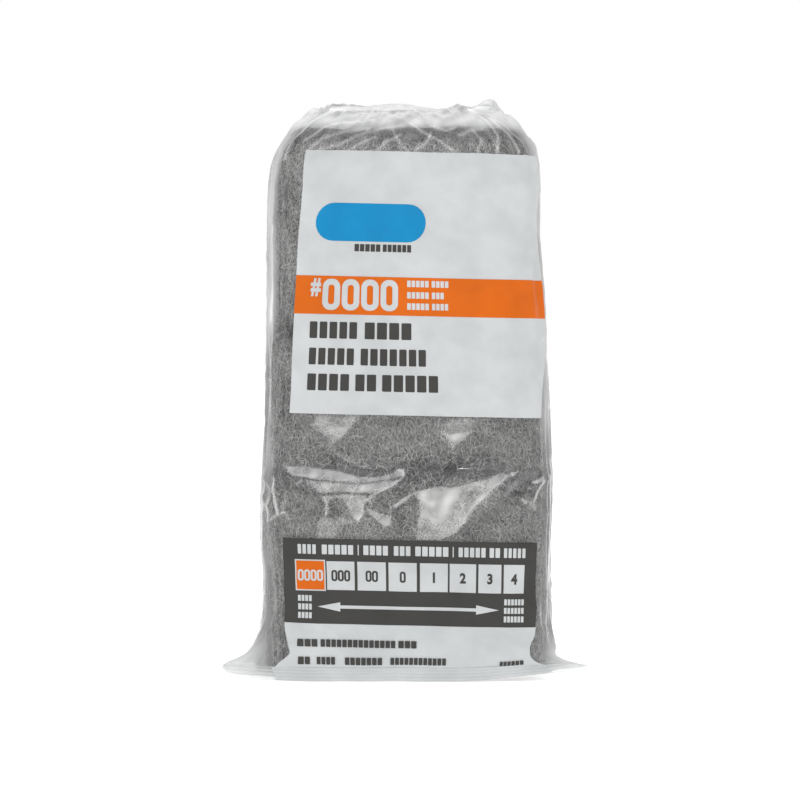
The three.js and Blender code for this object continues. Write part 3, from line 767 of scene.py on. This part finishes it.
def digits(lines):
    """Plain numerals: (text, middle x, middle z, height, how narrow) each."""
    flat = bmesh.new()
    for text, x, z, height, narrow in lines:
        font = bpy.data.curves.new("numeral", "FONT")
        font.body, font.offset, font.resolution_u = text, 0.042, 4
        made = bpy.data.objects.new("numeral", font)
        bpy.context.scene.collection.objects.link(made)
        depsgraph = bpy.context.evaluated_depsgraph_get()
        shape = bpy.data.meshes.new_from_object(made.evaluated_get(depsgraph))
        co = np.array([v.co[:2] for v in shape.vertices])
        low, high = co.min(0), co.max(0)
        size = height / (high - low)[1]
        fitted = (co - (low + high) / 2) * (size * narrow, size) + (x, z)
        for v, (vx, vz) in zip(shape.vertices, fitted):
            v.co = (vx, vz, 0)
        flat.from_mesh(shape)
        bpy.data.objects.remove(made)
        bpy.data.curves.remove(font)
        bpy.data.meshes.remove(shape)
    flat.normal_update()
    flat.verts.index_update()
    return flat


def words(z, height, *spans):
    """Stand-ins for words, each (left, right, letters): a row of plain blocks."""
    found = []
    for left, right, letters in spans:
        gap = 0.14 * height
        pitch = (right - left + gap) / letters
        for k in range(letters):
            start = left + k * pitch
            found.append(bar(start, start + pitch - gap, z - height / 2, z + height / 2, 0.12))
    return found


def noughts(count, x, z, width, height, pitch, stroke):
    """A row of straight-sided noughts, each as quads from its outer edge to its inner one."""
    found = []
    for k in range(count):
        middle = x + (k - (count - 1) / 2) * pitch
        loops = []
        for inset in (0, stroke):
            wide, tall = width / 2 - inset, height / 2 - inset
            loops.append(bar(middle - wide, middle + wide, z - tall, z + tall, 0.9 * wide / tall))
        outer, inner = loops
        found += [[outer[i - 1], outer[i], inner[i], inner[i - 1]] for i in range(len(outer))]
    return found


TIP, NECK, HEAD, SHAFT = 34.3, 25.7, 1.8, 0.62
ARROW_X, ARROW_Z = 2, 28.4
arrow = [(-TIP, 0), (-NECK, -HEAD), (-NECK, -SHAFT), (NECK, -SHAFT), (NECK, -HEAD), (TIP, 0),
         (NECK, HEAD), (NECK, SHAFT), (-NECK, SHAFT), (-NECK, HEAD)]
arrow = [(x + ARROW_X, z + ARROW_Z) for x, z in arrow]
stamp("grade_arrow", outline([arrow]), "white_ink", ON_BAND)
mark = stamp("mark", outline([bar(-38.4, 6.5, 168.8, 183.4)]), "blue_ink", ON_FIELD)
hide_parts("print_mark")
caption = words(166.4, 2.8, (-22, -11.6, 5), (-10.6, 0.8, 6))
stamp("mark_caption", outline(caption), "dark_ink", ON_FIELD)

middles = [(left + right) / 2 for left, right in WINDOWS]
small = [noughts(len(grade), x, WINDOW_MIDDLE, 2.25, 4.3, 2.4, 0.74) for grade, x in zip(GRADES[:4], middles)]
numerals = [(grade, x, WINDOW_MIDDLE, 4.1, 0.85) for grade, x in zip(GRADES[4:], middles[4:])]
stamp("grade_numerals", digits(numerals), "dark_ink", ON_WINDOW)
stamp("grade_numeral_noughts", outline(small[1] + small[2] + small[3]), "dark_ink", ON_WINDOW)
stamp("grade_numeral_first", outline(small[0]), "white_ink", ON_WINDOW)
stamp("grade_number", outline(noughts(4, -19.2, 148.3, 6.9, 12, 7.6, 2.25)), "white_ink", ON_BAND)
stamp("grade_sign", digits([("#", -36.8, 150.9, 7, 0.68)]), "white_ink", ON_BAND)

note = words(153, 2.5, (-0.8, 7.7, 5), (8.9, 15.5, 4))
note += words(148.6, 2.5, (-0.8, 7.7, 5), (8.9, 13.6, 3))
note += words(144.3, 2.5, (-0.8, 7.7, 5), (8.9, 15.2, 4))
stamp("grade_note", outline(note), "white_ink", ON_BAND)

headline = words(134.6, 6.4, (-38.5, -20.2, 5), (-17.2, 0.8, 4))
headline += words(124.5, 6.4, (-38.4, -21.2, 5), (-18.6, 6.3, 7))
headline += words(114.6, 6.4, (-38.6, -22.8, 4), (-20.4, -12.6, 2), (-10.3, 10.8, 5))
stamp("headline", outline(headline), "dark_ink", ON_FIELD)

heading = words(50.4, 3.7, (-39.2, -32.4, 4), (-30.2, -18.5, 5), (-14.7, -5.5, 4), (-3.3, 2.9, 3),
                (4.7, 17.1, 5), (20.9, 31, 5), (32.5, 36.4, 2), (37.9, 46.1, 5))
heading += [bar(-16.8, -16.4, 48.4, 52.4, 0.05), bar(18.7, 19.1, 48.4, 52.4, 0.05)]
stamp("guide_heading", outline(heading), "white_ink", ON_BAND)
ends = [block for z in (31.5, 28.2, 24.9) for block in words(z, 2.3, (-39.7, -34.5, 4), (38.3, 46, 6))]
stamp("guide_ends", outline(ends), "white_ink", ON_BAND)

foot = words(14.4, 2.8, (-39.7, -32.4, 3), (-31.2, -2.8, 14), (-1.6, 5.3, 3))
foot += words(7.9, 2.7, (-39.4, -35.4, 2), (-32.8, -25.8, 4), (-22, -7.8, 7), (-4.6, 16.6, 12))
foot += words(6.8, 2, (37.2, 45.6, 6))
stamp("foot_lines", outline(foot), "dark_ink", FOOT_OUT)


# The crimped band of the bottom seal, which stands on the floor from ear to ear


SEAL_RIB_PITCH = 1.3
FOOT_LEFT, FOOT_RIGHT = -47.2, 49.5


def seal(t, z, out=0.0):
    """A place on the face of the bottom seal, which has ribs along it."""
    brow = film(t, np.full_like(t, CRIMP - 1), 0.3)
    ribs = 0.12 * np.cos(2 * np.pi * z / SEAL_RIB_PITCH) * bump(CRIMP - z, -0.4, 0.6) * bump(z, -0.2, 1.2)
    sway = 0.7 * np.sin(t / 9) * (1 - z / CRIMP) + 0.3 * np.sin(t / 3.1) * (1 - z / CRIMP)
    points = np.stack([brow[..., 0], brow[..., 1] - ribs - sway - out, z + lift(t, z)], -1)
    points[..., 0] += np.sign(t) * (ear(t, z) - ear(t, CRIMP - 1 + 0 * z))
    return points


def make_bottom_seal():
    """The clear band, and the foot of the lower field, which is printed on it."""
    t, z = np.meshgrid(np.linspace(-EAR_T, EAR_T, 170), np.linspace(OFF_FLOOR, CRIMP + 0.6, 29))
    piece = mesh("bottom_seal", seal(t, z), grid_faces(*t.shape), FILM)
    paint(piece, "haze", 0.42 + 0.14 * np.cos(2 * np.pi * z / SEAL_RIB_PITCH) + 0.06 * waves(t, z, 12, 31))
    t, z = np.meshgrid(np.linspace(FOOT_LEFT, FOOT_RIGHT, 130), np.linspace(0.25, CRIMP + 0.5, 24))
    points = seal(t + 0.3 * np.sin(z), z, 0.15)
    strip = mesh("lower_field_foot", points, grid_faces(*t.shape), INKS["white_ink"])


make_bottom_seal()


# The pads: ribbons of wool rolled flat

PAD_MARGIN = 1.5  # between the wool and the film
PAD_THICKNESS, PAD_GAP = 18.9, 0.4
STACK_DEPTH = len(LAYERS) * PAD_THICKNESS + (len(LAYERS) - 1) * PAD_GAP
STACK_X, STACK_Y = 52, 38  # half the level ring that warp and the loose fibres are laid out on
TAIL = 2  # how far the ribbon's free end runs past its last turn


def pad_inside(x, y, z, margin):
    """Moves a point of a square stack, with x and y from -1 to 1, to where the bag holds it."""
    reach = np.maximum(np.maximum(np.abs(x), np.abs(y)), 1e-6)
    k = 1 / ((np.abs(x) / reach) ** SQUARENESS + (np.abs(y) / reach) ** SQUARENESS) ** (1 / SQUARENESS)
    ms = np.linspace(0, 230, 461)
    heights = height_at(ms)
    wide, deep = np.interp(z, heights, width_at(ms)), np.interp(z, heights, depth_at(ms))
    left, right = left_edge(z), right_edge(z)
    half = (right - left) / 2 * wide - margin
    return np.stack([(left + right) / 2 + x * k * half, y * k * (half_depth(z) * deep - margin), z], -1)


def roll(height, thickness, step, bend, turns=5, gap=0.5):
    """The rolled ribbon's outline seen along X, as (y, z) round the pad's middle."""
    ribbon = (thickness - (turns - 1) * gap) / turns
    pitch = ribbon + gap
    low, high = -height / 2 + 2 * pitch + ribbon / 2, height / 2 - 1.5 * pitch - ribbon / 2
    # Each bend: the middle and radius of its arc, and 1 where it turns at the top, -1 at the bottom.
    ends = [(0.5 * pitch, high, 0.5 * pitch, 1), (0, low, pitch, -1),
            (0.5 * pitch, high, 1.5 * pitch, 1), (0, low, 2 * pitch, -1)]
    line, facing = [], []
    straight = max(2, round((high - low) / step))
    for y, z, radius, side in ends:
        start = low if side > 0 else high
        side_y = y - side * radius
        for s in range(straight):
            line.append((side_y, start + (z - start) * s / straight))
            facing.append((-side, 0))
        for s in range(bend + 1):
            a = np.pi - np.pi * s / bend if side > 0 else -np.pi * s / bend
            line.append((y + radius * np.cos(a), z + radius * np.sin(a)))
            facing.append((np.cos(a), np.sin(a)))
    for s in range(1, straight + 1):
        line.append((-2 * pitch, low + (high + TAIL - low) * s / straight))
        facing.append((-1, 0))
    line, facing = np.array(line), np.array(facing)
    outer, inner = line + facing * ribbon / 2, line - facing * ribbon / 2
    return np.concatenate([outer, inner[::-1]])


def warp(x, y, z):
    """The rows don't lie level: how far up a place in the stack is pushed."""
    rise = 1.2 * waves(x, y, 42, 77) * bump(z, 4, 24) * (1 - bump(z, 196, 208))
    return rise + 0.8 * (waves(x, y, 24, 78) - 0.5) * bump(z, 200, 212)


def make_pad(row, layer, seed):
    """One pad: the ribbon's outline drawn out from side to side and pressed into the bag."""
    node = f"pad_{row}_{layer}"
    low, high = [1000 * np.array(c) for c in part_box(node)]
    front = layer == "front"
    index = LAYERS.index(layer)
    middle_y = (index + 0.5) * PAD_THICKNESS + index * PAD_GAP - STACK_DEPTH / 2
    step, bend, columns = (2.2, 12, 60) if front else (6, 7, 24)
    section = roll(high[2] - low[2], PAD_THICKNESS, step, bend)
    x, y = np.meshgrid(np.linspace(-1, 1, columns), section[:, 0], indexing="ij")
    z = np.broadcast_to(section[:, 1], x.shape) + (low[2] + high[2]) / 2
    z = z + warp(STACK_X * x, middle_y + y, z)
    points = pad_inside(x, (middle_y + y) * 2 / STACK_DEPTH, z, PAD_MARGIN)
    lumps = 0.35 * waves(points[..., 0] + points[..., 1], points[..., 2], 9, seed)
    lumps = lumps + 0.18 * waves(points[..., 0] - points[..., 1], points[..., 2], 3.2, seed + 1, stretch=2)
    inward = np.stack([points[..., 0], points[..., 1], 0 * z], -1)
    inward /= np.linalg.norm(inward, axis=-1, keepdims=True)
    points = points + inward * (np.minimum(lumps, 0.3) - 0.35)[..., None]
    around = len(section)
    faces = grid_faces(columns, around, wrap=True)
    faces += [list(range(around)), [(columns - 1) * around + k for k in range(around)][::-1]]
    piece = mesh(f"wool_{row}_{layer}", points, faces, WOOL)
    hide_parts(node)


for r, row in enumerate(ROWS):
    for c, layer in enumerate(LAYERS):
        make_pad(row, layer, 100 + 10 * r + c)


# Loose fibres on the outside of the stack

ROW_JOINTS = np.array([80.15, 134.05])


def make_fibres(name, count, near, far, segments, seed):
    """Thin ribbons that curl over the stack, from near to far round it on both sides of its front."""
    draw = np.random.default_rng(seed)
    start = draw.uniform(near, far, count) * draw.choice([-1, 1], count)
    heading = draw.normal(np.pi / 2, 0.75, count)[:, None]
    turn = heading + np.cumsum(draw.normal(0, 0.32, (count, segments + 1)), 1)
    turn += np.arange(segments + 1) * draw.normal(0, 0.1, (count, 1))
    step = draw.uniform(0.35, 0.85, (count, 1))
    q = start[:, None] + np.cumsum(step * np.cos(turn), 1)
    z = draw.uniform(4, 205, count)[:, None] + np.cumsum(step * np.sin(turn), 1)
    # Few fibres cross the joints between the rows.
    keep = (np.abs(z.mean(1)[:, None] - ROW_JOINTS).min(1) > 3.5) | (draw.random(count) < 0.35)
    q, z, turn = q[keep], np.clip(z[keep], 2, 212), turn[keep]
    half = draw.uniform(0.045, 0.085, (len(q), 1))
    lift_off = PAD_MARGIN - 0.15 - draw.uniform(0, 0.45, (len(q), 1)) + 0 * q
    sides = []
    for edge in (-1, 1):
        round_q, up = q - edge * half * np.sin(turn), z + edge * half * np.cos(turn)
        away = np.abs(round_q)
        across = np.where(away > STACK_X + 2 * STACK_Y, 2 * (STACK_X + STACK_Y) - away, away)
        x = np.sign(round_q) * np.clip(across / STACK_X, 0, 1)
        y = np.clip((away - STACK_X) / STACK_Y - 1, -1, 1)
        up = up + warp(STACK_X * x, STACK_Y * y, up)
        sides.append(pad_inside(x, y, up, lift_off))
    points = np.stack(sides, 2)
    first = 2 * (np.arange(len(q))[:, None] * (segments + 1) + np.arange(segments))
    faces = np.stack([first, first + 1, first + 3, first + 2], -1).reshape(-1, 4).tolist()
    piece = mesh(name, points, faces, FIBRE, smooth=False)


make_fibres("fibres_front", 15000, near=0, far=72, segments=6, seed=5)
make_fibres("fibres_round", 9000, near=72, far=178, segments=4, seed=6)


# Floor, backdrop and light


def stage_plane(name, size, colour, glow):
    """A level square of the stage, in metres, which glows so that it looks white."""
    made, _, _, shader = material(name)
    shader.inputs["Base Color"].default_value = (*colour, 1)
    shader.inputs["Roughness"].default_value = 0.8
    shader.inputs["Emission Color"].default_value = (1, 1, 1, 1)
    shader.inputs["Emission Strength"].default_value = glow
    plane = bpy.data.meshes.new(name)
    half = size / 2
    corners = [(-half, -half, 0), (half, -half, 0), (half, half, 0), (-half, half, 0)]
    plane.from_pydata(corners, [], [(0, 1, 2, 3)])
    plane.materials.append(made)
    piece = bpy.data.objects.new(name, plane)
    bpy.context.scene.collection.objects.link(piece)


stage_plane("floor", 12, (0.8, 0.8, 0.8), 0.6)

# The sky is a little greyer in front of the bag than behind it.
world = bpy.data.worlds.new("studio")
bpy.context.scene.world = world
world.use_nodes = True
nodes, links = world.node_tree.nodes, world.node_tree.links
place = nodes.new("ShaderNodeTexCoord")
split = nodes.new("ShaderNodeSeparateXYZ")
sky = nodes.new("ShaderNodeValToRGB")
shift = nodes.new("ShaderNodeMapRange")
shift.inputs["From Min"].default_value = -1
links.new(place.outputs["Generated"], split.inputs["Vector"])
links.new(split.outputs["Y"], shift.inputs["Value"])
links.new(shift.outputs["Result"], sky.inputs["Fac"])
sky.color_ramp.elements[0].position, sky.color_ramp.elements[1].position = 0.35, 0.7
sky.color_ramp.elements[0].color = (0.7, 0.7, 0.71, 1)
sky.color_ramp.elements[1].color = (1, 1, 1, 1)
links.new(sky.outputs["Color"], nodes["Background"].inputs["Color"])

# The backdrop is white to the eye and in reflections, and lights the bag a little less.
SKYLIGHT = 0.85
rays = nodes.new("ShaderNodeLightPath")
seen = rays.outputs["Is Camera Ray"]
for operation, other in (("ADD", rays.outputs["Is Glossy Ray"]),
                         ("ADD", rays.outputs["Is Transmission Ray"]),
                         ("MAXIMUM", SKYLIGHT)):
    joined = nodes.new("ShaderNodeMath")
    joined.operation, joined.use_clamp = operation, True
    links.new(seen, joined.inputs[0])
    if other is SKYLIGHT:
        joined.inputs[1].default_value = SKYLIGHT
    else:
        links.new(other, joined.inputs[1])
    seen = joined.outputs["Value"]
links.new(seen, nodes["Background"].inputs["Strength"])


def softbox(name, place, aim, width, height, power):
    """A rectangular lamp that faces a place. Lengths are in metres."""
    light = bpy.data.lights.new(name, "AREA")
    light.shape = "RECTANGLE"
    light.size, light.size_y, light.energy = width, height, power
    lamp = bpy.data.objects.new(name, light)
    lamp.location = place
    lamp.rotation_euler = (Vector(aim) - Vector(place)).to_track_quat("-Z", "Y").to_euler()
    bpy.context.scene.collection.objects.link(lamp)


softbox("brow", (-0.12, -1.05, 0.65), (0, 0, 0.1), 1.2, 0.8, 2.9)
softbox("left", (-1, -0.45, 0.3), (0, 0, 0.1), 0.6, 0.9, 1)
softbox("right", (1, -0.5, 0.45), (0, 0, 0.12), 0.5, 0.9, 0.85)

bpy.context.scene.view_settings.view_transform = "Standard"
